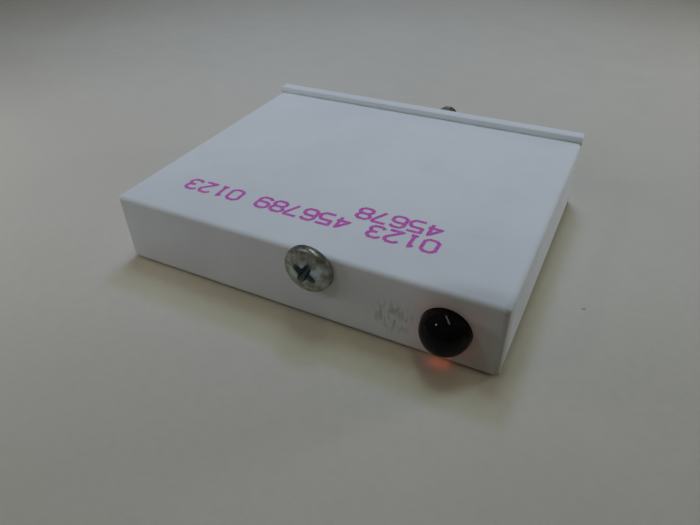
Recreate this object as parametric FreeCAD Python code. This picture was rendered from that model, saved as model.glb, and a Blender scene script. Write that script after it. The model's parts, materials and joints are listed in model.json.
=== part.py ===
"""Slim plug-in solid state relay module, modelled as separate pieces.

Frame, in millimetres: the origin is the centre of the seating face at the pin end, +Y points out of
that face along the pins, +Z is the thin direction and -Y is the face with the screw and the lamp.
Each node is written to parts/NODE.step.
"""

import FreeCAD, Part
import math
import os

V = FreeCAD.Vector

# Case
BODY_WIDTH = 43.2
BODY_THICKNESS = 8.1
BODY_DEPTH = 35.1
WALL = 0.9
FRONT_WALL = 1.0
EDGE_RADIUS = 0.5

# Lip across the two broad faces at the pin end
LIP_DEPTH = 1.5
LIP_PROUD_Z = 0.8
LIP_RADIUS = 0.2

# Hold-down screw, No. 4-40
SCREW_X = 2.7
SCREW_Z = 2.3
THREAD_R = 1.42
SHOULDER_LENGTH = 1.6
SHANK_R = 1.25
SCREW_CLEARANCE = 0.08
SCREW_TIP_Y = 4.6
SCREW_TIP_CHAMFER = 0.4
HEAD_R = 2.55
HEAD_HEIGHT = 1.25
HEAD_CROWN_R = 6.0
HEAD_CORNER_R = 0.6
RECESS_SPAN = 3.0
RECESS_WIDTH = 0.68
RECESS_DEPTH = 1.1
RECESS_ANGLE = 60.0
RECESS_MOUTH = 1.1
RECESS_FLOOR = 0.65

# Clip that keeps the screw captive, and the tunnel that it slides in
SCREW_TRAVEL = 4.6
CLIP_STOP_GAP = 0.1
CLIP_THICKNESS = 0.5
CLIP_HALF_WIDTH = 2.0
CLIP_ARM_TOP = 0.8
GROOVE_R = 0.8
GROOVE_CLEARANCE = 0.05
TUNNEL_HALF_WIDTH = 2.2
TUNNEL_RIB = 0.8

# Status lamp, 5 mm class
LAMP_X = 16.4
LAMP_Z = -0.15
LAMP_R = 2.4
LAMP_PROUD = 2.5
LAMP_BODY_BEHIND = 5.1
LAMP_FLANGE_R = 2.75
LAMP_FLANGE = 1.0
LAMP_HOLE_CLEARANCE = 0.05
LAMP_LEAD_PITCH = 2.54
LAMP_LEAD = 0.5
LAMP_LEAD_TOP = 0.9
LAMP_LEAD_REACH = 2.0
LAMP_ANVIL = 1.2
LAMP_DIE = 0.3
LAMP_DIE_HEIGHT = 0.2

# Pins
PIN_R = 0.5
PIN_Z = 0.0
PIN_LENGTH = 6.0
PIN_INSIDE = 8.0
PIN_CHAMFER = 0.2
PIN_COLLAR_R = 0.75
PIN_TAIL_R = 0.3
PIN_TAIL_STANDOFF = 0.15
PINS = {
    "field_pin_1": -15.24,
    "field_pin_2": -7.62,
    "logic_pin_3": 7.62,
    "logic_pin_4": 12.70,
    "logic_pin_5": 17.78,
}

# Header, resin and board
HEADER_THICKNESS = 1.6
HEADER_SEAM = 0.25
RESIN_DEPTH = 3.0
BOARD_THICKNESS = 1.0
BOARD_TOP = PIN_Z - PIN_TAIL_R - PIN_TAIL_STANDOFF
BOARD_SIDE_GAP = 0.2
BOARD_FRONT_GAP = 0.5
BOARD_IN_RESIN = 2.2
RAIL_WIDTH = 0.7
RAIL_HEIGHT = 0.6
RAIL_GAP = 0.1

# Wire leads
WIRE_R = 0.3
WIRE_BEND = 0.7
LEAD_BELOW_BOARD = 0.9

# Derived sizes
HALF_WIDTH = BODY_WIDTH / 2
HALF_THICKNESS = BODY_THICKNESS / 2
FRONT_Y = -BODY_DEPTH
CAVITY_X = HALF_WIDTH - WALL
CAVITY_Z = HALF_THICKNESS - WALL
CAVITY_FRONT_Y = FRONT_Y + FRONT_WALL
PASSAGE_R = THREAD_R + SCREW_CLEARANCE
BOARD_BOTTOM = BOARD_TOP - BOARD_THICKNESS
BOARD_BACK_Y = -HEADER_THICKNESS - RESIN_DEPTH + BOARD_IN_RESIN
BOARD_FRONT_Y = CAVITY_FRONT_Y + BOARD_FRONT_GAP
RESIN_FRONT_Y = -HEADER_THICKNESS - RESIN_DEPTH
RIB_BOTTOM = BOARD_TOP + RAIL_GAP
CLIP_FRONT_Y = CAVITY_FRONT_Y + SCREW_TRAVEL + CLIP_STOP_GAP
LAMP_BACK_Y = FRONT_Y + LAMP_BODY_BEHIND + LAMP_FLANGE
LAMP_INSIDE_Y = FRONT_Y + LAMP_LEAD_TOP
LAMP_FOOT_Y = LAMP_BACK_Y + LAMP_LEAD_REACH
LAMP_LEAD_XS = (LAMP_X - LAMP_LEAD_PITCH / 2, LAMP_X + LAMP_LEAD_PITCH / 2)
LEAD_TIP_Z = BOARD_BOTTOM - LEAD_BELOW_BOARD

# Axial parts: centre x, centre y, body radius, body length, lead pitch
AXIAL_PARTS = {
    "input_resistor_1": (-17.4, -24.0, 1.5, 9.0, 12.7),
    "input_resistor_2": (-13.6, -24.0, 1.5, 9.0, 12.7),
    "input_diode": (-10.2, -24.0, 1.0, 4.2, 7.62),
    "pull_up_resistor": (13.8, -19.4, 1.15, 6.3, 10.16),
    "lamp_resistor": (17.6, -19.4, 1.15, 6.3, 10.16),
}
AXIAL_STANDOFF = 0.1
AXIAL_CAP = 1.4
AXIAL_WAIST = 0.85

# Board-mounted packages: centre x, centre y, width, depth, height
OPTOCOUPLER = (-4.6, -13.5, 6.4, 4.6, 3.1)
OPTOCOUPLER_STANDOFF = 0.3
OPTOCOUPLER_ROW = 7.62
OPTOCOUPLER_PITCH = 2.54
OPTOCOUPLER_SIDE_LEADS = 2
OPTOCOUPLER_LEAD_WIDTH = 0.6
OPTOCOUPLER_LEAD_THICKNESS = 0.3
OPTOCOUPLER_EDGE = 0.4
AMPLIFIER = (9.5, -29.8, 3.9, 4.9, 1.5)
AMPLIFIER_STANDOFF = 0.12
AMPLIFIER_ROW = 5.6
AMPLIFIER_PITCH = 1.27
AMPLIFIER_SIDE_LEADS = 4
AMPLIFIER_LEAD_WIDTH = 0.42
AMPLIFIER_LEAD_THICKNESS = 0.2
AMPLIFIER_EDGE = 0.3
CAPACITOR = (-5.4, -27.0, 2.5, 7.2, 3.2)
CAPACITOR_PITCH = 5.08
CAPACITOR_EDGE = 0.3
BYPASS = (9.0, -24.0, 3.2, 1.6, 1.2)
BYPASS_EDGE = 0.1
TRANSISTOR_X = 9.2
TRANSISTOR_BACK_Y = -15.4
TRANSISTOR_R = 2.3
TRANSISTOR_LENGTH = 4.6
TRANSISTOR_HEIGHT = 3.3
TRANSISTOR_FOOT_PITCH = 1.78
TRANSISTOR_REACH = 2.4
TRANSISTOR_STAGGER = 0.9
CHIP_SIZE = (2.0, 1.25, 0.5)
CHIP_XS = (-12.0, 7.0, 10.5, 14.0)
CHIP_Y = -10.6

# Solder: cones under the board and mounds over the pins' tails
SOLDER_BASE_R = 0.8
SOLDER_TIP_R = 0.42
SOLDER_HEIGHT = 0.7
PIN_SOLDER_R = 0.95
PIN_SOLDER_GAP = 0.3

# Modelling margins
EPS = 0.01
BEYOND = 1.0


def box(x0, x1, y0, y1, z0, z1):
    """Box between two corners."""
    return Part.makeBox(x1 - x0, y1 - y0, z1 - z0, V(x0, y0, z0))


def block(x, y, width, depth, z0, z1):
    """Box centred on x and y, from z0 to z1."""
    return box(x - width / 2, x + width / 2, y - depth / 2, y + depth / 2, z0, z1)


def rod_y(radius, y0, y1, x, z):
    """Cylinder along Y."""
    return Part.makeCylinder(radius, y1 - y0, V(x, y0, z), V(0, 1, 0))


def rod_z(radius, z0, z1, x, y):
    """Cylinder along Z."""
    return Part.makeCylinder(radius, z1 - z0, V(x, y, z0), V(0, 0, 1))


def fuse(shapes):
    """One clean solid from touching shapes."""
    return shapes[0].multiFuse(shapes[1:]).removeSplitter()


def turned(edges_ry, x, z):
    """Solid turned about the Y axis at x, z from edges drawn as radius and y in the XY plane."""
    face = Part.Face(Part.Wire(edges_ry))
    solid = face.revolve(V(0, 0, 0), V(0, 1, 0), 360)
    solid.translate(V(x, 0, z))
    return solid


def polyline(points):
    """Closed run of straight edges through points given as radius and y."""
    corners = [V(r, y, 0) for r, y in points]
    corners.append(corners[0])
    return [Part.LineSegment(a, b).toShape() for a, b in zip(corners, corners[1:])]


def arc(centre, radius, start, end):
    """Arc edge about a centre in the XY plane, between two angles in radians."""
    angles = (start, (start + end) / 2, end)
    ends = [centre + V(radius * math.cos(a), radius * math.sin(a), 0) for a in angles]
    return Part.Arc(*ends).toShape()


def rounded(shape, radius, keep):
    """Shape with the edges that pass keep(centre of edge) rounded."""
    return shape.makeFillet(radius, [edge for edge in shape.Edges if keep(edge)])


def screw_passage():
    """Clearance hole of the screw through the whole depth of the case."""
    return rod_y(PASSAGE_R, FRONT_Y - BEYOND, BEYOND, SCREW_X, SCREW_Z)


def case_outside():
    """Outer block of the case with its lip."""
    body = box(-HALF_WIDTH, HALF_WIDTH, FRONT_Y, 0, -HALF_THICKNESS, HALF_THICKNESS)
    body = rounded(body, EDGE_RADIUS, lambda edge: edge.CenterOfMass.y < -EDGE_RADIUS)
    lip_z = HALF_THICKNESS + LIP_PROUD_Z
    lip = box(-HALF_WIDTH, HALF_WIDTH, -LIP_DEPTH, 0, -lip_z, lip_z)
    lip = rounded(lip, LIP_RADIUS, lambda edge: abs(edge.CenterOfMass.z) > HALF_THICKNESS)
    return fuse([body, lip])


def guide_rails():
    """Four ledges on the side walls that hold the board's edges."""
    rails = []
    for side in (-1, 1):
        x0, x1 = sorted((side * (CAVITY_X - RAIL_WIDTH), side * (CAVITY_X + WALL / 2)))
        above = BOARD_TOP + RAIL_GAP
        below = BOARD_BOTTOM - RAIL_GAP
        for z0, z1 in ((above, above + RAIL_HEIGHT), (below - RAIL_HEIGHT, below)):
            front = LAMP_BACK_Y + RAIL_GAP if side > 0 else CAVITY_FRONT_Y - FRONT_WALL / 2
            rails.append(box(x0, x1, front, RESIN_FRONT_Y, z0, z1))
    return rails


def tunnel_ribs():
    """Two ribs that hang from the broad wall beside the screw."""
    ribs = []
    for side in (-1, 1):
        inner = SCREW_X + side * TUNNEL_HALF_WIDTH
        outer = inner + side * TUNNEL_RIB
        x0, x1 = sorted((inner, outer))
        ribs.append(box(x0, x1, CAVITY_FRONT_Y - FRONT_WALL / 2, -HEADER_THICKNESS,
                        RIB_BOTTOM, CAVITY_Z + WALL / 2))
    return ribs


def case_shell():
    """Moulded case, open at the pin end."""
    cavity = box(-CAVITY_X, CAVITY_X, CAVITY_FRONT_Y, BEYOND, -CAVITY_Z, CAVITY_Z)
    shell = case_outside().cut(cavity)
    shell = fuse([shell] + guide_rails() + tunnel_ribs())
    lamp_hole = rod_y(LAMP_R + LAMP_HOLE_CLEARANCE, FRONT_Y - BEYOND, CAVITY_FRONT_Y + BEYOND,
                      LAMP_X, LAMP_Z)
    return shell.cut(lamp_hole).cut(screw_passage()).removeSplitter()


def pin(x):
    """Round pin with a thin tail, a collar moulded into the header and a chamfered tip."""
    outline = [(0, -PIN_INSIDE), (PIN_TAIL_R, -PIN_INSIDE), (PIN_TAIL_R, -HEADER_THICKNESS),
               (PIN_COLLAR_R, -HEADER_THICKNESS), (PIN_COLLAR_R, 0), (PIN_R, 0),
               (PIN_R, PIN_LENGTH - PIN_CHAMFER), (PIN_R - PIN_CHAMFER, PIN_LENGTH), (0, PIN_LENGTH)]
    return turned(polyline(outline), x, PIN_Z)


def pin_holes(radius):
    """Straight holes that the pins fill."""
    return [rod_y(radius, RESIN_FRONT_Y - BEYOND, BEYOND, x, PIN_Z) for x in PINS.values()]


def base_header():
    """Plate that closes the pin end, flush with the lip, with a fine seam around it."""
    plate = box(-CAVITY_X, CAVITY_X, -HEADER_THICKNESS, 0, -CAVITY_Z, CAVITY_Z)
    plate = plate.makeChamfer(HEADER_SEAM, [e for e in plate.Edges if e.CenterOfMass.y > -EPS])
    return plate.cut(Part.makeCompound(pin_holes(PIN_COLLAR_R) + [screw_passage()]))


def epoxy_seal():
    """Resin behind the header, clear of the screw's tunnel."""
    resin = box(-CAVITY_X, CAVITY_X, RESIN_FRONT_Y, -HEADER_THICKNESS, -CAVITY_Z, CAVITY_Z)
    board = box(-CAVITY_X + BOARD_SIDE_GAP, CAVITY_X - BOARD_SIDE_GAP, RESIN_FRONT_Y - BEYOND,
                BOARD_BACK_Y, BOARD_BOTTOM, BOARD_TOP)
    tunnel = box(SCREW_X - TUNNEL_HALF_WIDTH - TUNNEL_RIB, SCREW_X + TUNNEL_HALF_WIDTH + TUNNEL_RIB,
                 RESIN_FRONT_Y - BEYOND, 0, RIB_BOTTOM, CAVITY_Z)
    return resin.cut(Part.makeCompound(pin_holes(PIN_TAIL_R) + [board, tunnel]))


def circuit_board(holes):
    """Board with a corner cut away for the lamp and a hole for each lead."""
    half = CAVITY_X - BOARD_SIDE_GAP
    board = box(-half, half, BOARD_FRONT_Y, BOARD_BACK_Y, BOARD_BOTTOM, BOARD_TOP)
    lamp_corner = box(LAMP_X - LAMP_FLANGE_R - BOARD_FRONT_GAP, half + BEYOND, BOARD_FRONT_Y - BEYOND,
                      LAMP_BACK_Y + RAIL_GAP, BOARD_BOTTOM - BEYOND, BOARD_TOP + BEYOND)
    return board.cut(Part.makeCompound([lamp_corner] + holes))


def head_outline():
    """Crown, rounded corner and rim of the head, from its top to the bearing face."""
    crown_centre = V(0, FRONT_Y - HEAD_HEIGHT + HEAD_CROWN_R, 0)
    reach = HEAD_CROWN_R - HEAD_CORNER_R
    lean = math.asin((HEAD_R - HEAD_CORNER_R) / reach)
    corner_centre = crown_centre + V(HEAD_R - HEAD_CORNER_R, -reach * math.cos(lean), 0)
    down = -math.pi / 2
    rim_top = corner_centre + V(HEAD_CORNER_R, 0, 0)
    return [arc(crown_centre, HEAD_CROWN_R, down, down + lean),
            arc(corner_centre, HEAD_CORNER_R, down + lean, 0),
            Part.LineSegment(rim_top, V(HEAD_R, FRONT_Y, 0)).toShape()]


def captive_screw():
    """Pan head screw with a shoulder, a clip groove, a cross recess and a chamfered tip."""
    top_y = FRONT_Y - HEAD_HEIGHT
    shoulder_y = FRONT_Y + SHOULDER_LENGTH
    groove_y0 = CLIP_FRONT_Y - GROOVE_CLEARANCE
    groove_y1 = CLIP_FRONT_Y + CLIP_THICKNESS + GROOVE_CLEARANCE
    outline = [(HEAD_R, FRONT_Y), (THREAD_R, FRONT_Y), (THREAD_R, shoulder_y), (SHANK_R, shoulder_y),
               (SHANK_R, groove_y0), (GROOVE_R, groove_y0), (GROOVE_R, groove_y1), (SHANK_R, groove_y1),
               (SHANK_R, 0), (THREAD_R, 0), (THREAD_R, SCREW_TIP_Y - SCREW_TIP_CHAMFER),
               (THREAD_R - SCREW_TIP_CHAMFER, SCREW_TIP_Y), (0, SCREW_TIP_Y), (0, top_y)]
    edges = polyline(outline)[:-1]
    return turned(head_outline() + edges, SCREW_X, SCREW_Z).cut(cross_recess(top_y))


def cross_recess(top_y):
    """Two tapered wings and a cone in the middle, sunk into the head."""
    mouth = top_y - EPS
    bottom = top_y + RECESS_DEPTH
    half = RECESS_WIDTH / 2
    floor = RECESS_WIDTH * RECESS_FLOOR
    outline = [V(-RECESS_SPAN / 2, mouth, -half), V(RECESS_SPAN / 2, mouth, -half),
               V(floor, bottom, -half), V(-floor, bottom, -half)]
    outline.append(outline[0])
    wing = Part.Face(Part.makePolygon(outline)).extrude(V(0, 0, RECESS_WIDTH))
    recess = Part.makeCone(RECESS_WIDTH * RECESS_MOUTH, floor, bottom - mouth, V(0, mouth, 0), V(0, 1, 0))
    for quarter in (0, 90):
        arm = wing.copy()
        arm.rotate(V(0, 0, 0), V(0, 1, 0), -(RECESS_ANGLE + quarter))
        recess = recess.fuse(arm)
    recess.translate(V(SCREW_X, 0, SCREW_Z))
    return recess


def retaining_clip():
    """U clip that snaps into the screw's groove with its mouth towards the broad wall."""
    inner = GROOVE_R + GROOVE_CLEARANCE
    y0 = CLIP_FRONT_Y
    y1 = CLIP_FRONT_Y + CLIP_THICKNESS
    arms = box(SCREW_X - CLIP_HALF_WIDTH, SCREW_X + CLIP_HALF_WIDTH, y0, y1,
               SCREW_Z, SCREW_Z + CLIP_ARM_TOP)
    mouth = box(SCREW_X - inner, SCREW_X + inner, y0 - BEYOND, y1 + BEYOND,
                SCREW_Z, SCREW_Z + CLIP_ARM_TOP + BEYOND)
    clip = fuse([rod_y(CLIP_HALF_WIDTH, y0, y1, SCREW_X, SCREW_Z), arms])
    above = box(SCREW_X - CLIP_HALF_WIDTH, SCREW_X + CLIP_HALF_WIDTH, y0 - BEYOND, y1 + BEYOND,
                SCREW_Z + CLIP_ARM_TOP, SCREW_Z + CLIP_HALF_WIDTH + BEYOND)
    groove = rod_y(inner, y0 - BEYOND, y1 + BEYOND, SCREW_X, SCREW_Z)
    return clip.cut(above).cut(mouth).cut(groove)


def lamp_leads():
    """Post and anvil inside the lens, running back and down through the board."""
    half = LAMP_LEAD / 2
    bottom = LAMP_Z - half
    top = LAMP_Z + half
    pieces = []
    for x in LAMP_LEAD_XS:
        run = box(x - half, x + half, LAMP_INSIDE_Y, LAMP_FOOT_Y, bottom, top)
        leg = block(x, LAMP_FOOT_Y - half, LAMP_LEAD, LAMP_LEAD, LEAD_TIP_Z, top)
        pieces.append([run, leg])
    anvil = box(LAMP_X - half, LAMP_LEAD_XS[1], LAMP_INSIDE_Y, LAMP_INSIDE_Y + LAMP_ANVIL, bottom, top)
    pieces[1].append(anvil)
    return [fuse(lead) for lead in pieces]


def lamp_die():
    """Chip on the tip of the anvil."""
    half = LAMP_DIE / 2
    return box(LAMP_X - half, LAMP_X + half, LAMP_INSIDE_Y - LAMP_DIE_HEIGHT, LAMP_INSIDE_Y,
               LAMP_Z - half, LAMP_Z + half)


def led_lens(inner_pieces):
    """Domed lens with a flange behind the front wall."""
    body_back = LAMP_BACK_Y - LAMP_FLANGE
    dome_y = FRONT_Y - (LAMP_PROUD - LAMP_R)
    dome = arc(V(0, dome_y, 0), LAMP_R, -math.pi / 2, 0)
    corners = [V(LAMP_R, dome_y, 0), V(LAMP_R, body_back, 0), V(LAMP_FLANGE_R, body_back, 0),
               V(LAMP_FLANGE_R, LAMP_BACK_Y, 0), V(0, LAMP_BACK_Y, 0), V(0, dome_y - LAMP_R, 0)]
    edges = [Part.LineSegment(a, b).toShape() for a, b in zip(corners, corners[1:])]
    return turned([dome] + edges, LAMP_X, LAMP_Z).cut(Part.makeCompound(inner_pieces))


def axial_body(x, y, radius, length):
    """Dumb-bell body of an axial part, lying along Y."""
    z = BOARD_TOP + AXIAL_STANDOFF + radius
    waist = rod_y(radius * AXIAL_WAIST, y - length / 2, y + length / 2, x, z)
    ends = [rod_y(radius, y0, y0 + AXIAL_CAP, x, z) for y0 in (y - length / 2, y + length / 2 - AXIAL_CAP)]
    return fuse([waist] + ends)


def bent_wire(x, y_start, y_end, z, end_z):
    """Round wire that runs along Y, bends once and goes down."""
    turn = 1 if y_end > y_start else -1
    corner = y_end - turn * WIRE_BEND
    middle = V(x, corner + turn * WIRE_BEND * math.sin(math.pi / 4),
               z - WIRE_BEND * (1 - math.cos(math.pi / 4)))
    path = Part.Wire([
        Part.LineSegment(V(x, y_start, z), V(x, corner, z)).toShape(),
        Part.Arc(V(x, corner, z), middle, V(x, y_end, z - WIRE_BEND)).toShape(),
        Part.LineSegment(V(x, y_end, z - WIRE_BEND), V(x, y_end, end_z)).toShape()])
    ring = Part.Wire([Part.makeCircle(WIRE_R, V(x, y_start, z), V(0, 1, 0))])
    return path.makePipeShell([ring], True, True)


def axial_leads():
    """Two wires for each axial part."""
    wires = []
    for x, y, radius, length, pitch in AXIAL_PARTS.values():
        z = BOARD_TOP + AXIAL_STANDOFF + radius
        for side in (-1, 1):
            wires.append(bent_wire(x, y + side * length / 2, y + side * pitch / 2, z, LEAD_TIP_Z))
    return wires


def through_hole_places():
    """Places where round leads pass the board."""
    places = []
    for x, y, radius, length, pitch in AXIAL_PARTS.values():
        places += [(x, y - pitch / 2), (x, y + pitch / 2)]
    x, y = CAPACITOR[:2]
    places += [(x, y - CAPACITOR_PITCH / 2), (x, y + CAPACITOR_PITCH / 2)]
    return places + transistor_feet()


def transistor_feet():
    """Places where the transistor's three leads pass the board."""
    row_y = TRANSISTOR_BACK_Y + TRANSISTOR_REACH
    return [(TRANSISTOR_X + step * TRANSISTOR_FOOT_PITCH, row_y + abs(step) * TRANSISTOR_STAGGER)
            for step in (-1, 0, 1)]


def package(spec, standoff, edge):
    """Moulded package body with chamfered top edges."""
    x, y, width, depth, height = spec
    z0 = BOARD_TOP + standoff
    body = block(x, y, width, depth, z0, z0 + height)
    top = [e for e in body.Edges if e.CenterOfMass.z > z0 + height - EPS]
    return body.makeChamfer(edge, top)


def side_leads(spec, row, pitch, count, width, thickness, lead_z, foot_z):
    """Two rows of flat leads that leave a package sideways and turn down."""
    x, y, body_width = spec[:3]
    leads = []
    for side in (-1, 1):
        for index in range(count):
            centre_y = y + (index - (count - 1) / 2) * pitch
            inner = x + side * body_width / 2
            outer = x + side * (row / 2 + thickness / 2)
            x0, x1 = sorted((inner, outer))
            shoulder = block((x0 + x1) / 2, centre_y, x1 - x0, width, lead_z, lead_z + thickness)
            leg = block(x + side * row / 2, centre_y, thickness, width, foot_z, lead_z + thickness)
            leads.append(fuse([shoulder, leg]))
    return leads


def optocoupler_leads():
    """Four legs through the board."""
    lead_z = BOARD_TOP + OPTOCOUPLER_STANDOFF + OPTOCOUPLER[4] / 2
    return side_leads(OPTOCOUPLER, OPTOCOUPLER_ROW, OPTOCOUPLER_PITCH, OPTOCOUPLER_SIDE_LEADS,
                      OPTOCOUPLER_LEAD_WIDTH, OPTOCOUPLER_LEAD_THICKNESS, lead_z, LEAD_TIP_Z)


def amplifier_leads():
    """Eight legs that stand on the board."""
    lead_z = BOARD_TOP + AMPLIFIER_STANDOFF + AMPLIFIER[4] / 2
    return side_leads(AMPLIFIER, AMPLIFIER_ROW, AMPLIFIER_PITCH, AMPLIFIER_SIDE_LEADS,
                      AMPLIFIER_LEAD_WIDTH, AMPLIFIER_LEAD_THICKNESS, lead_z, BOARD_TOP)


def output_transistor():
    """Half-round package lying on its flat."""
    z0 = BOARD_TOP + AXIAL_STANDOFF
    y0 = TRANSISTOR_BACK_Y - TRANSISTOR_LENGTH
    barrel = rod_y(TRANSISTOR_R, y0, TRANSISTOR_BACK_Y, TRANSISTOR_X, z0 + TRANSISTOR_HEIGHT - TRANSISTOR_R)
    slab = block(TRANSISTOR_X, y0 + TRANSISTOR_LENGTH / 2, 2 * TRANSISTOR_R + BEYOND, TRANSISTOR_LENGTH,
                 z0, z0 + TRANSISTOR_HEIGHT)
    return barrel.common(slab)


def transistor_leads():
    """Three wires from the package, spread and turned down through the board."""
    z = BOARD_TOP + AXIAL_STANDOFF + TRANSISTOR_HEIGHT / 3
    return [bent_wire(x, TRANSISTOR_BACK_Y, y, z, LEAD_TIP_Z) for x, y in transistor_feet()]


def filter_capacitor():
    """Boxed film capacitor with its two leads."""
    x, y, width, depth, height = CAPACITOR
    body = package(CAPACITOR, 0, CAPACITOR_EDGE)
    legs = [rod_z(WIRE_R, LEAD_TIP_Z, BOARD_TOP + height / 2, x, y + side * CAPACITOR_PITCH / 2)
            for side in (-1, 1)]
    return fuse([body] + legs)


def solder_cone(x, y, hole_shape):
    """Fillet of solder under the board around one lead."""
    cone = Part.makeCone(SOLDER_BASE_R, SOLDER_TIP_R, SOLDER_HEIGHT, V(x, y, BOARD_BOTTOM), V(0, 0, -1))
    return cone.cut(hole_shape)


def square_lead_places():
    """Centres of the flat legs that pass the board, with their sizes along X and Y."""
    places = [(x, LAMP_FOOT_Y - LAMP_LEAD / 2, LAMP_LEAD, LAMP_LEAD) for x in LAMP_LEAD_XS]
    x, y = OPTOCOUPLER[:2]
    for side in (-1, 1):
        for end in (-1, 1):
            places.append((x + side * OPTOCOUPLER_ROW / 2, y + end * OPTOCOUPLER_PITCH / 2,
                           OPTOCOUPLER_LEAD_THICKNESS, OPTOCOUPLER_LEAD_WIDTH))
    return places


def board_openings():
    """Shapes of all the leads where they pass the board."""
    z0 = LEAD_TIP_Z - BEYOND
    z1 = BOARD_TOP + BEYOND
    openings = [(x, y, rod_z(WIRE_R, z0, z1, x, y)) for x, y in through_hole_places()]
    openings += [(x, y, block(x, y, wx, wy, z0, z1)) for x, y, wx, wy in square_lead_places()]
    return openings


def solder_joints(openings):
    """Cones under the board, and a mound over each pin on top of it."""
    joints = [solder_cone(x, y, shape) for x, y, shape in openings]
    for x in PINS.values():
        y0 = -PIN_INSIDE + PIN_SOLDER_GAP
        y1 = RESIN_FRONT_Y - PIN_SOLDER_GAP
        mound = rod_y(PIN_SOLDER_R, y0, y1, x, BOARD_TOP)
        reach = PIN_SOLDER_R + BEYOND
        below = box(x - reach, x + reach, y0 - BEYOND, y1 + BEYOND, BOARD_TOP - reach, BOARD_TOP)
        tail = rod_y(PIN_TAIL_R, y0 - BEYOND, y1 + BEYOND, x, PIN_Z)
        joints.append(mound.cut(below).cut(tail))
    return joints


def chip_resistors():
    """Row of chip resistors under the board."""
    width, depth, height = CHIP_SIZE
    return [block(x, CHIP_Y, width, depth, BOARD_BOTTOM - height, BOARD_BOTTOM) for x in CHIP_XS]


def build():
    """All nodes, each a solid or a list of separate solids."""
    openings = board_openings()
    lamp_metal = lamp_leads()
    die = lamp_die()
    nodes = {
        "case_shell": case_shell(),
        "base_header": base_header(),
        "epoxy_seal": epoxy_seal(),
        "circuit_board": circuit_board([shape for x, y, shape in openings]),
        "led_leads": lamp_metal,
        "led_die": die,
        "led_lens": led_lens(lamp_metal + [die]),
        "optocoupler": package(OPTOCOUPLER, OPTOCOUPLER_STANDOFF, OPTOCOUPLER_EDGE),
        "optocoupler_leads": optocoupler_leads(),
        "amplifier_chip": package(AMPLIFIER, AMPLIFIER_STANDOFF, AMPLIFIER_EDGE),
        "amplifier_leads": amplifier_leads(),
        "output_transistor": output_transistor(),
        "transistor_leads": transistor_leads(),
        "filter_capacitor": filter_capacitor(),
        "bypass_capacitor": package(BYPASS, 0, BYPASS_EDGE),
        "chip_resistors": chip_resistors(),
        "axial_leads": axial_leads(),
        "solder_joints": solder_joints(openings),
        "captive_screw": captive_screw(),
        "retaining_clip": retaining_clip(),
    }
    for name, (x, y, radius, length, pitch) in AXIAL_PARTS.items():
        nodes[name] = axial_body(x, y, radius, length)
    for name, x in PINS.items():
        nodes[name] = pin(x)
    return nodes


def main():
    os.makedirs("parts", exist_ok=True)
    for name, shape in build().items():
        if isinstance(shape, list):
            shape = Part.makeCompound(shape)
        if not shape.isValid():
            raise ValueError(name + " is not a valid shape")
        shape.exportStep(os.path.join("parts", name + ".step"))
        print(name, "solids", len(shape.Solids), "volume mm3", round(shape.Volume, 3))


main()
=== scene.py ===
"""Looks of the slim plug-in relay module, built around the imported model.

Everything is in metres in the part's own frame: the origin is the centre of the seating face, +Y runs
along the pins, +Z is the thin direction, and the face with the screw and the lamp looks along -Y.
"""

import json
import math
import random

import bpy
from mathutils import Matrix, Vector


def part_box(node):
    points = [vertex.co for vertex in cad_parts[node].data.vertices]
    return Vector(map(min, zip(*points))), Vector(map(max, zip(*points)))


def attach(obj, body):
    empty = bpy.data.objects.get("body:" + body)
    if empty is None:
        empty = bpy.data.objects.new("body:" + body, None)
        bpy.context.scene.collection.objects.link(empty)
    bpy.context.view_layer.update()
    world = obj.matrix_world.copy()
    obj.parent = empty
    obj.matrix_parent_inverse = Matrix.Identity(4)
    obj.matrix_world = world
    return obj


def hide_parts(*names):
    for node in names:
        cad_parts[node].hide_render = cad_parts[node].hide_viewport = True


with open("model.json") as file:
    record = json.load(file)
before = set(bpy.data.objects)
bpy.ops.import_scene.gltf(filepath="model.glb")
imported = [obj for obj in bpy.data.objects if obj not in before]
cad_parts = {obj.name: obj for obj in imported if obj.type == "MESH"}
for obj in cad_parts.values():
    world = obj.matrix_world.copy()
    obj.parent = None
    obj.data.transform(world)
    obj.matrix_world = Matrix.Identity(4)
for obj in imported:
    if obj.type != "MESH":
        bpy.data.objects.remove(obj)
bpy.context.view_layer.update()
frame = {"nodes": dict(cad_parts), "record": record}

MM = 0.001
TURN = 2 * math.pi

# Names, places and sizes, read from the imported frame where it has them
CASE_LOW, CASE_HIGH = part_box("case_shell")
LENS_LOW, LENS_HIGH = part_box("led_lens")
SCREW_LOW, SCREW_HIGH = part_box("captive_screw")
HEADER_BACK_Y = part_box("base_header")[0].y
PIN_NAMES = [name for name in frame["nodes"] if "_pin_" in name]
RESISTOR_NAMES = ("input_resistor_1", "input_resistor_2", "pull_up_resistor", "lamp_resistor")
MOUNTS = {mount["name"]: mount for mount in frame["record"]["mounts"]}

FRONT_Y = CASE_LOW.y
LIP_DEPTH = 1.5 * MM
LIP_PROUD = 0.8 * MM
TOP_Z = CASE_HIGH.z - LIP_PROUD
BOTTOM_Z = CASE_LOW.z + LIP_PROUD
HALF_WIDTH = CASE_HIGH.x

SCREW_AXIS = Vector(MOUNTS["hold_down_thread"]["pos_m"])
THREAD_R = MOUNTS["hold_down_thread"]["dims"]["r_mm"] * MM
HEAD_R = (SCREW_HIGH.x - SCREW_LOW.x) / 2
HEAD_TOP_Y = FRONT_Y - 1.25 * MM
CROWN_R = 6.0 * MM
RECESS_SPAN = 1.5 * MM
SCREW_TIP_Y = SCREW_HIGH.y

LENS_R = 2.4 * MM
LENS_X = (LENS_LOW.x + LENS_HIGH.x) / 2
LENS_Z = (LENS_LOW.z + LENS_HIGH.z) / 2


# ---------------------------------------------------------------- mesh helpers

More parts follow.
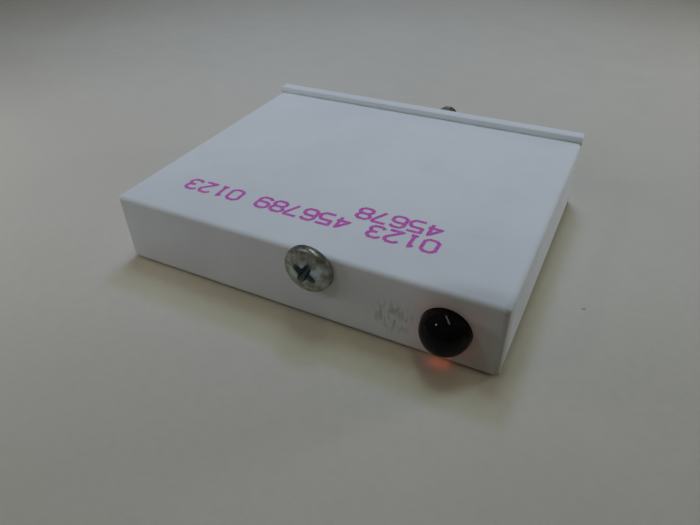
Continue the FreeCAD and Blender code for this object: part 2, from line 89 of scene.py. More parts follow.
def shade(mesh, smooth_angle):
    """Smooth shading, with sharp edges only where faces meet at more than smooth_angle degrees."""
    mesh.shade_smooth()
    if smooth_angle is not None:
        mesh.set_sharp_from_angle(angle=math.radians(smooth_angle))


def new_object(name, vertices, faces, smooth_angle=None):
    """Mesh object in the scene, shaded smooth."""
    mesh = bpy.data.meshes.new(name)
    mesh.from_pydata([tuple(v) for v in vertices], [], faces)
    mesh.validate()
    mesh.update()
    piece = bpy.data.objects.new(name, mesh)
    bpy.context.scene.collection.objects.link(piece)
    shade(mesh, smooth_angle)
    return piece


def lathe(outline, axis_x, axis_z, segments, radius_at=None):
    """Vertices and faces of a closed solid turned about a line along Y.

    outline is a list of (radius, y), with radius 0 at both ends. radius_at(radius, y, angle) may
    change a ring's radius round the turn.
    """
    rings = outline[1:-1]
    vertices = [Vector((axis_x, outline[0][1], axis_z)), Vector((axis_x, outline[-1][1], axis_z))]
    for radius, y in rings:
        for k in range(segments):
            angle = TURN * k / segments
            r = radius_at(radius, y, angle) if radius_at else radius
            vertices.append(Vector((axis_x + r * math.cos(angle), y, axis_z + r * math.sin(angle))))
    faces = []
    last = 2 + (len(rings) - 1) * segments
    for k in range(segments):
        nxt = (k + 1) % segments
        faces.append((0, 2 + k, 2 + nxt))
        faces.append((1, last + nxt, last + k))
        for row in range(len(rings) - 1):
            a = 2 + row * segments
            faces.append((a + k, a + segments + k, a + segments + nxt, a + nxt))
    return vertices, faces


def arc_points(centre_r, centre_y, radius, start, end, steps):
    """Points (radius, y) on an arc, with angles in degrees from the +radius direction towards +y."""
    points = []
    for i in range(steps + 1):
        angle = math.radians(start + (end - start) * i / steps)
        points.append((centre_r + radius * math.cos(angle), centre_y + radius * math.sin(angle)))
    return points


# ---------------------------------------------------------------- material helpers

NOISE_ROUGHNESS = 0.55
# Places of the Mix node's colour sockets, whose names its number sockets share
MIX_A, MIX_B, MIX_RESULT = 6, 7, 2


class Surface:
    """One material under construction, with short ways to add nodes."""

    def __init__(self, name, roughness=0.5, metallic=0.0):
        self.material = bpy.data.materials.new(name)
        self.material.use_nodes = True
        self.tree = self.material.node_tree
        self.bsdf = self.tree.nodes["Principled BSDF"]
        self.bsdf.inputs["Roughness"].default_value = roughness
        self.bsdf.inputs["Metallic"].default_value = metallic
        self.place = self.tree.nodes.new("ShaderNodeTexCoord").outputs["Object"]

    def add(self, kind, inputs=None, **settings):
        """New node with its settings and inputs, each input a value or another node's output."""
        node = self.tree.nodes.new("ShaderNode" + kind)
        for key, value in settings.items():
            setattr(node, key, value)
        for key, value in (inputs or {}).items():
            if isinstance(value, bpy.types.NodeSocket):
                self.tree.links.new(value, node.inputs[key])
            else:
                node.inputs[key].default_value = value
        return node

    def link(self, output, name):
        """A node's output drives one input of the shader."""
        self.tree.links.new(output, self.bsdf.inputs[name])

    def stretched(self, scale):
        """Object coordinates scaled by a vector."""
        return self.add("Mapping", {"Vector": self.place, "Scale": scale}).outputs["Vector"]

    def noise(self, size, detail=3.0, place=None, distortion=0.0):
        """Noise whose features are about size metres across."""
        inputs = {"Vector": place or self.place, "Scale": 1.0 / size, "Detail": detail,
                  "Roughness": NOISE_ROUGHNESS, "Distortion": distortion}
        return self.add("TexNoise", inputs).outputs["Fac"]

    def ramp(self, value, low, high, to_low=0.0, to_high=1.0):
        """value taken smoothly from low..high to to_low..to_high."""
        inputs = {"Value": value, "From Min": low, "From Max": high, "To Min": to_low, "To Max": to_high}
        return self.add("MapRange", inputs, interpolation_type="SMOOTHSTEP").outputs["Result"]

    def maths(self, operation, a, b=0.0):
        """Result of one Math node; ABSOLUTE takes only a."""
        return self.add("Math", {0: a, 1: b}, operation=operation).outputs[0]

    def length(self, a, b):
        """Length of the vector (a, b)."""
        vector = self.add("CombineXYZ", {0: a, 1: b}).outputs[0]
        return self.add("VectorMath", {0: vector}, operation="LENGTH").outputs["Value"]

    def mix(self, factor, a, b):
        """Colour between a and b."""
        return self.add("Mix", {0: factor, MIX_A: a, MIX_B: b}, data_type="RGBA").outputs[MIX_RESULT]

    def near(self, centre, stretch, inner, outer):
        """1 close to a centre and 0 away from it, in metres, with each axis stretched."""
        shifted = self.add("VectorMath", {0: self.place, 1: centre}, operation="SUBTRACT").outputs[0]
        scaled = self.add("VectorMath", {0: shifted, 1: stretch}, operation="MULTIPLY").outputs[0]
        length = self.add("VectorMath", {0: scaled}, operation="LENGTH").outputs["Value"]
        return self.ramp(length, inner, outer, 1.0, 0.0)

    def axis(self, index):
        """One object coordinate."""
        return self.add("SeparateXYZ", {0: self.place}).outputs[index]

    def bump(self, heights):
        """Bumps from (height output, distance in metres) pairs, one on top of the other."""
        normal = None
        for height, distance in heights:
            inputs = {"Height": height, "Distance": distance, "Strength": 1.0}
            if normal is not None:
                inputs["Normal"] = normal
            normal = self.add("Bump", inputs).outputs["Normal"]
        self.link(normal, "Normal")


def dye(r, g, b):
    """Linear colour with alpha."""
    return (r, g, b, 1.0)


# ---------------------------------------------------------------- materials

# Middle of the scuffs on the front face, between the screw and the lamp
SCUFFS = Vector((11.2 * MM, FRONT_Y, -0.7 * MM))


def white_plastic():
    """Moulded case: mottled, specked, worn in places; painted shade to the front, beside the lamp and in
    the lip's crease.
    """
    s = Surface("case_white")
    mottle = s.noise(9 * MM, detail=4.0)
    colour = s.mix(s.ramp(mottle, 0.35, 0.65), dye(0.70, 0.73, 0.76), dye(0.75, 0.78, 0.81))
    cloud = s.noise(1.6 * MM, detail=5.0)
    colour = s.mix(s.ramp(cloud, 0.60, 0.82, 0.0, 0.25), colour, dye(0.55, 0.565, 0.60))

    # Painted shade: the case darkens over its last 18 mm towards the front face.
    painted_front_shade = s.ramp(s.axis(1), FRONT_Y, FRONT_Y + 18 * MM, 0.32, 0.0)
    colour = s.mix(painted_front_shade, colour, dye(0.50, 0.51, 0.53))

    # Painted shade, brownish, on the front face towards its corner beside the lamp.
    painted_corner_shade = s.near(Vector((HALF_WIDTH - 2 * MM, FRONT_Y, 0)), (1.0, 2.5, 0.6), 2.5 * MM, 8 * MM)
    colour = s.mix(s.maths("MULTIPLY", painted_corner_shade, 0.5), colour, dye(0.34, 0.32, 0.285))

    specks = s.noise(0.5 * MM, detail=1.0)
    colour = s.mix(s.ramp(specks, 0.83, 0.86, 0.0, 0.6), colour, dye(0.25, 0.23, 0.20))

    rub_zone = s.near(SCUFFS, (1.0, 0.3, 1.2), 0.8 * MM, 3.0 * MM)
    streaks = s.noise(0.36 * MM, detail=3.0, place=s.stretched((1.0, 1.0, 0.36)), distortion=0.4)
    rub = s.maths("MULTIPLY", rub_zone, s.ramp(streaks, 0.46, 0.62))
    colour = s.mix(s.maths("MULTIPLY", rub, 0.42), colour, dye(0.22, 0.20, 0.17))

    corner = s.near(Vector((HALF_WIDTH, FRONT_Y, TOP_Z)), (1.0, 1.0, 1.0), 0.1 * MM, 1.3 * MM)
    chips = s.maths("MULTIPLY", corner, s.ramp(s.noise(0.3 * MM, detail=3.0), 0.5, 0.6))
    colour = s.mix(s.maths("MULTIPLY", chips, 0.6), colour, dye(0.30, 0.28, 0.25))

    # Painted shade in the crease where the lip meets the broad faces, broken up by noise.
    from_lip = s.maths("ADD", s.axis(1), LIP_DEPTH)
    above_face = s.maths("MAXIMUM", s.maths("SUBTRACT", s.maths("ABSOLUTE", s.axis(2)), TOP_Z), 0.0)
    crease = s.ramp(s.length(from_lip, above_face), 0.02 * MM, 0.35 * MM, 1.0, 0.0)
    crease_shade = s.maths("MULTIPLY", crease, s.ramp(s.noise(2.5 * MM, detail=4.0), 0.3, 0.7, 0.15, 0.55))
    colour = s.mix(crease_shade, colour, dye(0.46, 0.47, 0.49))
    s.link(colour, "Base Color")

    s.link(s.ramp(s.noise(1.2 * MM, detail=4.0), 0.3, 0.7, 0.44, 0.58), "Roughness")
    s.bsdf.inputs["Subsurface Weight"].default_value = 0.04
    s.bsdf.inputs["Subsurface Radius"].default_value = (0.6 * MM, 0.5 * MM, 0.45 * MM)
    s.bsdf.inputs["Subsurface Scale"].default_value = 1.0
    s.bump([(s.noise(0.16 * MM, detail=2.0), 0.006 * MM), (s.noise(6 * MM, detail=2.0), 0.05 * MM)])
    return s.material


def black_plastic():
    """Header plate: dull moulded plastic with a faint grey bloom."""
    s = Surface("header_black")
    bloom = s.noise(2.2 * MM, detail=5.0)
    colour = s.mix(s.ramp(bloom, 0.4, 0.75), dye(0.020, 0.020, 0.022), dye(0.045, 0.045, 0.048))
    s.link(colour, "Base Color")
    s.link(s.ramp(bloom, 0.3, 0.7, 0.45, 0.65), "Roughness")
    s.bump([(s.noise(0.2 * MM, detail=2.0), 0.010 * MM), (s.noise(3 * MM), 0.04 * MM)])
    return s.material


def poured_resin():
    """Glossy resin with a slow wavy surface."""
    s = Surface("resin", roughness=0.15)
    colour = s.mix(s.noise(1.5 * MM, detail=4.0), dye(0.018, 0.018, 0.020), dye(0.035, 0.033, 0.032))
    s.link(colour, "Base Color")
    s.bump([(s.noise(2.5 * MM, detail=2.0), 0.08 * MM)])
    return s.material


def bright_metal(name, light, dark, rough_low, rough_high):
    """Plated metal with tarnish clouds and very faint drawn lines along Y."""
    s = Surface(name, metallic=1.0)
    clouds = s.noise(2 * MM, detail=3.0)
    s.link(s.mix(s.ramp(clouds, 0.35, 0.7), dye(*light), dye(*dark)), "Base Color")
    s.link(s.ramp(clouds, 0.3, 0.7, rough_low, rough_high), "Roughness")
    lines = s.noise(0.05 * MM, detail=2.0, place=s.stretched((1.0, 0.06, 1.0)))
    s.bump([(lines, 0.0002 * MM), (s.noise(0.5 * MM, detail=1.0), 0.001 * MM)])
    return s.material


def zinc_plate():
    """Dulled zinc of the screw: blotches, fine pits, painted shade and dirt in the recess, painted shade
    in the thread.
    """
    s = Surface("screw_zinc", metallic=0.88)
    blotch = s.noise(0.9 * MM, detail=5.0, distortion=0.4)
    colour = s.mix(s.ramp(blotch, 0.35, 0.65), dye(0.52, 0.56, 0.59), dye(0.28, 0.30, 0.25))
    pits = s.noise(0.14 * MM, detail=2.0)
    colour = s.mix(s.ramp(pits, 0.62, 0.74, 0.0, 0.7), colour, dye(0.10, 0.10, 0.085))

    # Painted shade, with some dirt, inside the driver recess: a dark bluish colour below the crown.
    across = s.maths("SUBTRACT", s.axis(0), SCREW_AXIS.x)
    up = s.maths("SUBTRACT", s.axis(2), SCREW_AXIS.z)
    radius = s.length(across, up)
    sag = s.maths("MULTIPLY", s.maths("MULTIPLY", radius, radius), 1 / (2 * CROWN_R))
    below_crown = s.maths("SUBTRACT", s.maths("SUBTRACT", s.axis(1), HEAD_TOP_Y), sag)
    in_head = s.ramp(s.axis(1), FRONT_Y - 0.1 * MM, FRONT_Y, 1.0, 0.0)
    deep = s.maths("MULTIPLY", s.ramp(below_crown, 0.05 * MM, 0.35 * MM), in_head)
    within = s.ramp(radius, RECESS_SPAN + 0.05 * MM, RECESS_SPAN + 0.25 * MM, 1.0, 0.0)
    recess = s.maths("MULTIPLY", deep, within)
    colour = s.mix(recess, colour, dye(0.26, 0.34, 0.42))

    # Painted shade in the thread's grooves so that the ridges show; it fades out near the tip.
    in_groove = s.ramp(radius, THREAD_R - 0.3 * MM, THREAD_R - 0.06 * MM, 1.0, 0.0)
    threaded = s.ramp(s.axis(1), 0.0, 0.4 * MM)
    on_side = s.ramp(s.axis(1), SCREW_TIP_Y - 0.2 * MM, SCREW_TIP_Y - 0.05 * MM, 0.85, 0.0)
    groove = s.maths("MULTIPLY", s.maths("MULTIPLY", in_groove, threaded), on_side)
    colour = s.mix(groove, colour, dye(0.09, 0.09, 0.08))
    s.link(colour, "Base Color")
    s.link(s.ramp(blotch, 0.3, 0.7, 0.26, 0.46), "Roughness")
    s.bump([(s.noise(0.12 * MM, detail=3.0), 0.004 * MM), (s.noise(0.7 * MM, detail=2.0), 0.02 * MM)])
    return s.material


def lamp_resin():
    """Deep red resin, slightly milky."""
    s = Surface("lens_red")
    streak = s.noise(1.2 * MM, detail=3.0)
    s.link(s.mix(streak, dye(0.018, 0.013, 0.018), dye(0.024, 0.016, 0.023)), "Base Color")
    s.bsdf.inputs["Transmission Weight"].default_value = 0.6
    s.bsdf.inputs["IOR"].default_value = 1.34
    s.bsdf.inputs["Specular IOR Level"].default_value = 0.18
    s.link(s.ramp(s.noise(0.4 * MM, detail=3.0), 0.4, 0.8, 0.02, 0.07), "Roughness")
    return s.material


def ink():
    """Magenta ink, thinner in places."""
    s = Surface("ink_magenta", roughness=0.6)
    uneven = s.noise(0.35 * MM, detail=4.0)
    s.link(s.mix(s.ramp(uneven, 0.3, 0.75), dye(0.54, 0.055, 0.38), dye(0.66, 0.10, 0.48)), "Base Color")
    s.bump([(s.noise(0.15 * MM), 0.004 * MM)])
    return s.material


def laminate():
    """Green solder mask over a weave of slightly raised, lighter bands."""
    s = Surface("board_laminate")
    weave = s.add("TexWave", {"Vector": s.place, "Scale": 1.0 / (2.2 * MM), "Distortion": 1.5},
                  bands_direction="X").outputs["Fac"]
    s.link(s.mix(s.ramp(weave, 0.4, 0.6), dye(0.015, 0.10, 0.035), dye(0.03, 0.16, 0.06)), "Base Color")
    s.link(s.ramp(s.noise(1.0 * MM), 0.3, 0.7, 0.28, 0.45), "Roughness")
    s.bump([(weave, 0.02 * MM)])
    return s.material


def moulded(name, base, roughness):
    """Moulded epoxy package with a fine grain."""
    s = Surface(name)
    lighter = tuple(min(1.0, c * 1.25 + 0.005) for c in base)
    s.link(s.mix(s.noise(0.5 * MM, detail=5.0), dye(*base), dye(*lighter)), "Base Color")
    s.link(s.ramp(s.noise(0.8 * MM), 0.3, 0.7, roughness - 0.07, roughness + 0.07), "Roughness")
    s.bump([(s.noise(0.1 * MM, detail=2.0), 0.006 * MM)])
    return s.material


def banded_resistor(node):
    """Lacquered resistor body with four colour bands across it."""
    low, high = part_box(node)
    length = high.y - low.y
    band_half = 0.04 * length
    blur = 0.004 * length
    s = Surface("resistor_tan_" + node, roughness=0.3)
    colour = s.mix(s.noise(0.6 * MM, detail=4.0), dye(0.42, 0.27, 0.13), dye(0.50, 0.34, 0.18))
    bands = ((0.10, (0.16, 0.05, 0.02)), (0.30, (0.02, 0.02, 0.02)), (0.46, (0.40, 0.06, 0.02)),
             (0.88, (0.55, 0.38, 0.10)))
    for share, tone in bands:
        offset = s.maths("ABSOLUTE", s.maths("SUBTRACT", s.axis(1), low.y + share * length))
        band = s.ramp(offset, band_half - blur, band_half + blur, 1.0, 0.0)
        colour = s.mix(band, colour, dye(*tone))
    s.link(colour, "Base Color")
    s.bump([(s.noise(0.4 * MM, detail=3.0), 0.012 * MM)])
    return s.material


def table_top():
    """Pale laminate table with a soft sheen and faint mottling, and painted shade darkening its near
    side.
    """
    near_side = (0.47, -0.88, 0.0)
    s = Surface("table_top")
    wide = s.noise(60 * MM, detail=4.0)
    colour = s.mix(s.ramp(wide, 0.3, 0.7), dye(0.54, 0.49, 0.385), dye(0.58, 0.53, 0.42))
    fine = s.noise(0.9 * MM, detail=5.0)
    colour = s.mix(s.ramp(fine, 0.35, 0.7, 0.0, 0.35), colour, dye(0.50, 0.455, 0.36))
    # Painted shade: the table darkens on its near side, in front of the case.
    shade_ahead = s.add("VectorMath", {0: s.place, 1: near_side}, operation="DOT_PRODUCT").outputs["Value"]
    colour = s.mix(s.ramp(shade_ahead, 20 * MM, 62 * MM, 0.0, 0.24), colour, dye(0.22, 0.205, 0.17))
    specks = s.noise(1.3 * MM, detail=1.0)
    colour = s.mix(s.ramp(specks, 0.84, 0.86, 0.0, 0.5), colour, dye(0.16, 0.13, 0.09))
    s.link(colour, "Base Color")
    s.link(s.ramp(s.noise(5 * MM, detail=4.0), 0.3, 0.7, 0.38, 0.5), "Roughness")
    s.bump([(s.noise(0.5 * MM, detail=3.0), 0.01 * MM)])
    return s.material


def cover(piece, material):
    """Gives a piece one material all over."""
    piece.data.materials.clear()
    piece.data.materials.append(material)


# ---------------------------------------------------------------- carried-over solids

def dress_frame():
    """Gives every CAD node that is kept a procedural material."""
    metal = bright_metal("lead_metal", (0.66, 0.66, 0.64), (0.48, 0.48, 0.45), 0.22, 0.40)
    black = moulded("package_black", (0.018, 0.018, 0.019), 0.5)
    looks = {
        "case_shell": white_plastic(),
        "base_header": black_plastic(),
        "epoxy_seal": poured_resin(),
        "circuit_board": laminate(),
        "led_leads": metal,
        "led_die": moulded("die", (0.30, 0.26, 0.18), 0.4),
        "optocoupler": moulded("package_white", (0.62, 0.60, 0.54), 0.5),
        "optocoupler_leads": metal,
        "amplifier_chip": black,
        "amplifier_leads": metal,
        "output_transistor": black,
        "transistor_leads": metal,
        "input_diode": moulded("diode_black", (0.025, 0.025, 0.025), 0.3),
        "filter_capacitor": moulded("film_yellow", (0.62, 0.40, 0.05), 0.3),
        "bypass_capacitor": moulded("ceramic", (0.42, 0.29, 0.16), 0.45),
        "chip_resistors": black,
        "axial_leads": metal,
        "solder_joints": bright_metal("solder", (0.60, 0.61, 0.62), (0.45, 0.46, 0.47), 0.2, 0.35),
        "retaining_clip": bright_metal("clip_steel", (0.36, 0.36, 0.37), (0.24, 0.24, 0.25), 0.3, 0.45),
    }
    for name, material in looks.items():
        cover(frame["nodes"][name], material)
    for name in RESISTOR_NAMES:
        cover(frame["nodes"][name], banded_resistor(name))


# ---------------------------------------------------------------- hold-down screw

THREAD_PITCH = 0.635 * MM
THREAD_DEPTH = 0.36 * MM
# Share of half a pitch that stays flat at the crest, and again at the root
THREAD_FLAT = 0.12
# The groove deepens over the fade, counted from this far inside the seating face
THREAD_START = 0.1 * MM
THREAD_FADE = 0.5 * MM
THREAD_ROWS = 90
TIP_TAPER = 0.45 * MM
RECESS_TURN = math.radians(60)


def head_profile():
    """Head from the crown's middle to the bearing face: crown, rounded corner, rim, small chamfer."""
    corner_r = 0.6 * MM
    edge = 0.06 * MM
    reach = CROWN_R - corner_r
    lean = math.degrees(math.asin((HEAD_R - corner_r) / reach))
    crown_y = HEAD_TOP_Y + CROWN_R
    corner_y = crown_y - reach * math.cos(math.radians(lean))
    crown = arc_points(0, crown_y, CROWN_R, -90, -90 + lean, steps=14)
    corner = arc_points(HEAD_R - corner_r, corner_y, corner_r, -90 + lean, 0, steps=12)[1:]
    return [(0, HEAD_TOP_Y)] + crown[1:] + corner + [(HEAD_R, FRONT_Y - edge), (HEAD_R - edge, FRONT_Y)]


def screw_profile():
    """Whole screw as (radius, y), with fine rings where the thread is."""
    shoulder_end = FRONT_Y + 1.6 * MM
    shoulder_slope = 0.1 * MM
    shank_r = 1.25 * MM
    shank_end = -0.2 * MM
    groove_r = 0.8 * MM
    gap = 0.05 * MM
    clip_low, clip_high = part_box("retaining_clip")
    points = head_profile()
    points += [(THREAD_R, FRONT_Y), (THREAD_R, shoulder_end), (shank_r, shoulder_end + shoulder_slope),
               (shank_r, clip_low.y - gap), (groove_r, clip_low.y - gap), (groove_r, clip_high.y + gap),
               (shank_r, clip_high.y + gap), (shank_r, shank_end)]
    points += [(THREAD_R, SCREW_TIP_Y * i / THREAD_ROWS) for i in range(THREAD_ROWS + 1)]
    return points + [(0, SCREW_TIP_Y)]


def thread_radius(radius, y, angle):
    """Cuts the helical groove into the threaded end, fading at its start and tapering at the tip."""
    if y < 0:
        return radius
    phase = (y / THREAD_PITCH - angle / TURN) % 1.0
    groove = min(1.0, max(0.0, (abs(phase - 0.5) * 2 - THREAD_FLAT) / (1 - 2 * THREAD_FLAT)))
    depth = THREAD_DEPTH * groove * min(1.0, (y + THREAD_START) / THREAD_FADE)
    taper = max(0.0, y - (SCREW_TIP_Y - TIP_TAPER))
    return min(THREAD_R - depth, THREAD_R - taper)


def recess_cutter():
    """Cross-shaped plug for the driver recess: four wings with round ends that narrow with depth."""
    half = 0.34 * MM
    waist = 0.45 * MM
    # Depth below the crown, and the shares of the wings' length and width that are left there
    levels = ((-0.25 * MM, 1.05, 1.05), (0.0, 1.0, 1.0), (0.55 * MM, 0.68, 0.85), (1.0 * MM, 0.42, 0.7),
              (1.2 * MM, 0.22, 0.5))
    outline = []
    for quarter in range(4):
        turn = RECESS_TURN + quarter * math.pi / 2
        for degrees in (-90, -45, 0, 45, 90):
            angle = math.radians(degrees)
            outline.append((RECESS_SPAN - half + half * math.cos(angle), half * math.sin(angle), turn))
        outline.append((waist, waist, turn))
    vertices = []
    for depth, along_share, across_share in levels:
        for u, v, turn in outline:
            along = u * along_share
            across = v * across_share
            vertices.append(Vector((
                SCREW_AXIS.x + along * math.cos(turn) - across * math.sin(turn),
                HEAD_TOP_Y + depth,
                SCREW_AXIS.z + along * math.sin(turn) + across * math.cos(turn))))
    count = len(outline)
    last = (len(levels) - 1) * count
    faces = [tuple(range(count)), tuple(reversed(range(last, last + count)))]
    for level in range(len(levels) - 1):
        for k in range(count):
            a = level * count + k
            b = level * count + (k + 1) % count
            faces.append((a, a + count, b + count, b))
    return new_object("recess_cutter", vertices, faces)


def apply_modifiers(piece):
    """Bakes a piece's modifiers into its mesh."""
    graph = bpy.context.evaluated_depsgraph_get()
    mesh = bpy.data.meshes.new_from_object(piece.evaluated_get(graph))
    piece.modifiers.clear()
    piece.data = mesh


def hold_down_screw():
    """Pan head screw with a real cross recess and a rolled thread."""
    vertices, faces = lathe(screw_profile(), SCREW_AXIS.x, SCREW_AXIS.z, segments=96,
                            radius_at=thread_radius)
    screw = new_object("hold_down_screw", vertices, faces)
    cutter = recess_cutter()
    cut = screw.modifiers.new("recess", "BOOLEAN")
    cut.operation = "DIFFERENCE"
    cut.solver = "EXACT"
    cut.object = cutter
    apply_modifiers(screw)
    bpy.data.objects.remove(cutter, do_unlink=True)
    shade(screw.data, smooth_angle=32)
    cover(screw, zinc_plate())
    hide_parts("captive_screw")
    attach(screw, "screw")


# ---------------------------------------------------------------- status lamp

def lamp_lens():
    """Smooth domed lens with its flange."""
    flange = 1.0 * MM
    flange_r = (LENS_HIGH.x - LENS_LOW.x) / 2
    edge = 0.12 * MM
    dome_y = LENS_LOW.y + LENS_R
    outline = [(0, LENS_LOW.y)] + arc_points(0, dome_y, LENS_R, -90, 0, steps=40)[1:]
    outline += [(LENS_R, LENS_HIGH.y - flange), (flange_r - edge, LENS_HIGH.y - flange),
                (flange_r, LENS_HIGH.y - flange + edge), (flange_r, LENS_HIGH.y), (0, LENS_HIGH.y)]
    vertices, faces = lathe(outline, LENS_X, LENS_Z, segments=96)
    lens = new_object("lamp_lens", vertices, faces, smooth_angle=40)
    cover(lens, lamp_resin())
    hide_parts("led_lens")
    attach(lens, "module")


# ---------------------------------------------------------------- pins

def contact_pin(node, material):
    """Round pin with a softly rounded tip and its collar flush in the header."""
    low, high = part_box(node)
    radius = MOUNTS[node]["dims"]["r_mm"] * MM
    collar_r = 0.75 * MM
    tail_r = 0.3 * MM
    tip = 0.22 * MM
    outline = [(0, low.y), (tail_r, low.y), (tail_r, HEADER_BACK_Y), (collar_r, HEADER_BACK_Y),
               (collar_r, 0), (radius, 0), (radius, high.y - tip)]
    outline += arc_points(radius - tip, high.y - tip, tip, 0, 90, steps=6)[1:] + [(0, high.y)]
    centre = (low + high) / 2
    vertices, faces = lathe(outline, centre.x, centre.z, segments=40)
    pin = new_object("contact_" + node, vertices, faces, smooth_angle=35)
    cover(pin, material)
    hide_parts(node)
    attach(pin, "module")


def contact_pins():
    """All the pins, in one tin plating."""
    tin = bright_metal("pin_tin", (0.68, 0.68, 0.66), (0.54, 0.53, 0.50), 0.26, 0.38)
    for node in PIN_NAMES:
        contact_pin(node, tin)


# ---------------------------------------------------------------- ink marking

# Strokes of each digit on a grid, with the foot at 0
GRID_WIDTH = 4
GRID_HEIGHT = 6
DIGITS = {
    "0": [[(1, 0), (3, 0), (4, 1), (4, 5), (3, 6), (1, 6), (0, 5), (0, 1), (1, 0)]],
    "1": [[(0.9, 4.9), (2, 6), (2, 0)], [(1, 0), (3, 0)]],
    "2": [[(0, 5), (1, 6), (3, 6), (4, 5), (4, 4), (0, 0), (4, 0)]],
    "3": [[(0, 5), (1, 6), (3, 6), (4, 5), (4, 4), (3, 3), (1.5, 3)],
          [(3, 3), (4, 2), (4, 1), (3, 0), (1, 0), (0, 1)]],
    "4": [[(3, 0), (3, 6), (0, 2), (4, 2)]],
    "5": [[(4, 6), (0, 6), (0, 3.6), (3, 3.6), (4, 2.6), (4, 1), (3, 0), (0, 0)]],
    "6": [[(4, 5), (3, 6), (1, 6), (0, 5), (0, 1), (1, 0), (3, 0), (4, 1), (4, 2.4), (3, 3.4), (0, 3.4)]],
    "7": [[(0, 6), (4, 6), (4, 5), (1.5, 0)]],
    "8": [[(1, 3), (0, 4), (0, 5), (1, 6), (3, 6), (4, 5), (4, 4), (3, 3), (1, 3), (0, 2), (0, 1),
           (1, 0), (3, 0), (4, 1), (4, 2), (3, 3)]],
    "9": [[(0, 1), (1, 0), (3, 0), (4, 1), (4, 5), (3, 6), (1, 6), (0, 5), (0, 3.6), (1, 2.6), (4, 2.6)]],
}
# Each line of ink: its digits, the x of the first one and the y of their feet
INK_LINES = (("0123 456789 0123", 13.2 * MM, -28.45 * MM), ("45678", 12.7 * MM, -25.9 * MM))
DIGIT_PITCH = 1.86 * MM
DIGIT_WIDTH = 1.42 * MM
DIGIT_HEIGHT = 1.92 * MM
STROKE = 0.39 * MM
INK_HEIGHT = 0.012 * MM
INK_SINK = 0.004 * MM
DOT_PITCH = 0.3 * MM
STEPS_PER_DOT = 3
# Shares by which a stroke swells at each ink dot, varies at random and rises along its length
DOT_SWELL = 0.18
STROKE_JITTER = 0.06
STROKE_RISE = 0.6
# Neighbouring strokes take different heights, so that they can cross
INK_LEVELS = 5
LEVEL_STEP = 0.12
INK_SEED = 7


def stroke_points(stroke, x0, y0):
    """Evenly stepped points of one stroke on the broad face; the digits face the pin end."""
    corners = [Vector((x0 - u / GRID_WIDTH * DIGIT_WIDTH, y0 - v / GRID_HEIGHT * DIGIT_HEIGHT))
               for u, v in stroke]
    points = [corners[0]]
    for a, b in zip(corners, corners[1:]):
        steps = max(2, round((b - a).length / (DOT_PITCH / STEPS_PER_DOT)))
        points += [a.lerp(b, i / steps) for i in range(1, steps + 1)]
    return points


def ribbon(points, height, generator):
    """Closed ribbon along the points. It swells at each ink dot and rises slowly, to cross itself."""
    vertices = []
    travelled = 0.0
    for i, point in enumerate(points):
        before = points[max(i - 1, 0)]
        after = points[min(i + 1, len(points) - 1)]
        along = (after - before).normalized()
        side = Vector((-along.y, along.x))
        travelled += (point - before).length
        jitter = generator.uniform(-STROKE_JITTER, STROKE_JITTER)
        half = STROKE / 2 * (1.0 + DOT_SWELL * math.cos(TURN * travelled / DOT_PITCH) + jitter)
        top = TOP_Z + height * (1 + STROKE_RISE * i / len(points))
        for z in (TOP_Z - INK_SINK, top):
            for sign in (-1, 1):
                edge = point + side * half * sign
                vertices.append(Vector((edge.x, edge.y, z)))
    last = len(points) - 1
    faces = [(0, 2, 3, 1), (last * 4, last * 4 + 1, last * 4 + 3, last * 4 + 2)]
    for i in range(last):
        a = i * 4
        b = a + 4
        faces += [(a, a + 1, b + 1, b), (a + 2, b + 2, b + 3, a + 3), (a, b, b + 2, a + 2),
                  (a + 1, a + 3, b + 3, b + 1)]
    return vertices, faces


def ink_marking():
    """Two lines of plain counting digits where the real case carries its ink-jet marking."""
    generator = random.Random(INK_SEED)
    vertices = []
    faces = []
    level = 0
    for text, x_start, y_foot in INK_LINES:
        for place, digit in enumerate(text):
            x0 = x_start - place * DIGIT_PITCH
            for stroke in DIGITS.get(digit, ()):
                level = (level + 1) % INK_LEVELS
                height = INK_HEIGHT * (1 + LEVEL_STEP * level)
                part_vertices, part_faces = ribbon(stroke_points(stroke, x0, y_foot), height, generator)
                shift = len(vertices)
                vertices += part_vertices
                faces += [tuple(i + shift for i in face) for face in part_faces]
    marking = new_object("ink_marking", vertices, faces, smooth_angle=30)
    cover(marking, ink())
    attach(marking, "module")


# ---------------------------------------------------------------- table, light, camera

def table():
    """Large pale table a hair under the lip and the front edge, so it leans a little to the case."""
    gap = 0.12 * MM
    edge_round = 0.3 * MM
    touch_front = Vector((0, FRONT_Y + edge_round, BOTTOM_Z))
    touch_back = Vector((0, -LIP_DEPTH, CASE_LOW.z))
    slope = (touch_back.z - touch_front.z) / (touch_back.y - touch_front.y)
    half = 900 * MM
    steps = 24
    vertices = []
    for j in range(steps + 1):
        for i in range(steps + 1):
            x = -half + 2 * half * i / steps
            y = -half + 2 * half * j / steps
            vertices.append((x, y, touch_front.z + slope * (y - touch_front.y) - gap))
    faces = []
    for j in range(steps):
        for i in range(steps):
            a = j * (steps + 1) + i
            faces.append((a, a + 1, a + steps + 2, a + steps + 1))
    floor = new_object("table_top", vertices, faces)
    cover(floor, table_top())


# The lights that glossy surfaces mirror; the others only brighten what they fall on
GLINTS = ("ceiling_tube", "fill_left")
DOWN = Vector((0, 0, -1))
INWARD = Vector((0, 1, 0))


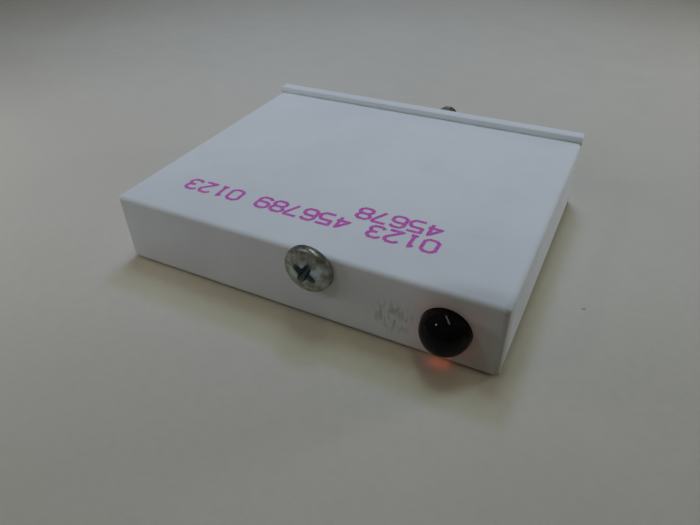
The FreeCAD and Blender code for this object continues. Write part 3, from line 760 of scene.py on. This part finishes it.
def soft_light(name, place, target, size, power, colour, spread=180):
    """Area light of a size (x, y) at a place, turned to a target, with its beam's angle in degrees."""
    light = bpy.data.lights.new(name, "AREA")
    light.shape = "RECTANGLE"
    light.size, light.size_y = size
    light.energy = power
    light.color = colour
    light.spread = math.radians(spread)
    lamp = bpy.data.objects.new(name, light)
    lamp.location = place
    lamp.rotation_mode = "QUATERNION"
    lamp.rotation_quaternion = (Vector(target) - Vector(place)).to_track_quat("-Z", "Y")
    lamp.visible_camera = False
    lamp.visible_glossy = name in GLINTS
    bpy.context.scene.collection.objects.link(lamp)
    return lamp


def studio():
    """Dim warm room: cool lights above and behind, two on the right, two on the left, a ceiling tube."""
    world = bpy.data.worlds.new("room")
    world.use_nodes = True
    background = world.node_tree.nodes["Background"]
    background.inputs["Color"].default_value = dye(1.0, 0.85, 0.75)
    background.inputs["Strength"].default_value = 0.09
    bpy.context.scene.world = world
    middle = (0, FRONT_Y / 2, 0)
    behind = (-0.03, 0.02, 0)
    front_left = (-0.01, FRONT_Y, 0)
    back_left = (-0.038, 0.045, 0)
    back_right = (0.02, -0.005, 0)
    pin_end = (0, 0, 0)
    soft_light("overhead", (-0.03, 0.08, 0.26), back_left, (0.12, 0.12), 0.063, (0.635, 0.865, 1.0), 80)
    soft_light("ceiling_lamp", (-0.035, 0.12, 0.22), behind, (0.03, 0.03), 0.035, (0.32, 0.33, 1.0), 90)
    soft_light("window_right", (0.125, 0.085, 0.037), pin_end, (0.04, 0.04), 0.054, (0.93, 1.0, 0.99))
    soft_light("fill_left", (-0.096, -0.126, 0.139), middle, (0.02, 0.02), 0.0180, (0.97, 0.98, 1.0))
    soft_light("fill_side", (-0.10, -0.06, 0.03), front_left, (0.04, 0.04), 0.0258, (0.87, 0.91, 1.0))
    soft_light("room_right", (0.075, 0.03, 0.065), back_right, (0.04, 0.04), 0.0046, (0.52, 0.65, 1.0))

    tube_turn = math.radians(-48.5)
    over = Vector((0.046, -0.04, 0.30))
    tube = soft_light("ceiling_tube", over, over + DOWN, (0.237, 0.032), 0.086, (0.83, 1.0, 0.68))
    tube.rotation_mode = "XYZ"
    tube.rotation_euler = (0, 0, tube_turn)


def lamp_light():
    """Red light that the dome casts on the table under it and on the case around it."""
    under = Vector((LENS_X - 0.2 * MM, FRONT_Y - 0.45 * MM, BOTTOM_Z + 0.7 * MM))
    soft_light("lamp_glow", under, under + DOWN, (1.8 * MM, 0.8 * MM), 3.1e-6, (1.0, 0.12, 0.02))
    around = Vector((LENS_X, FRONT_Y - 1.0 * MM, LENS_Z))
    soft_light("lamp_halo", around, around + INWARD, (5.6 * MM, 5.6 * MM), 9.0e-6, (1.0, 0.16, 0.08))


def camera():
    """Camera at the photograph's angle, a short way in front of the case."""
    azimuth = math.radians(28.00)
    elevation = math.radians(37.25)
    roll = math.radians(1.61)
    distance = 51.70 * MM
    target = Vector((6.87 * MM, -34.86 * MM, TOP_Z))
    back = Vector((math.sin(azimuth) * math.cos(elevation), -math.cos(azimuth) * math.cos(elevation),
                   math.sin(elevation)))
    data = bpy.data.cameras.new("camera")
    data.sensor_width = 36.0
    data.lens = 29.38
    data.clip_start = 1 * MM
    data.clip_end = 10.0
    eye = bpy.data.objects.new("camera", data)
    upright = (-back).to_track_quat("-Z", "Y").to_matrix().to_4x4()
    moved = Matrix.Translation(target + back * distance)
    eye.matrix_world = moved @ upright @ Matrix.Rotation(-roll, 4, "Z")
    bpy.context.scene.collection.objects.link(eye)
    bpy.context.scene.camera = eye


camera()
studio()
lamp_light()
table()
dress_frame()
hold_down_screw()
lamp_lens()
contact_pins()
ink_marking()
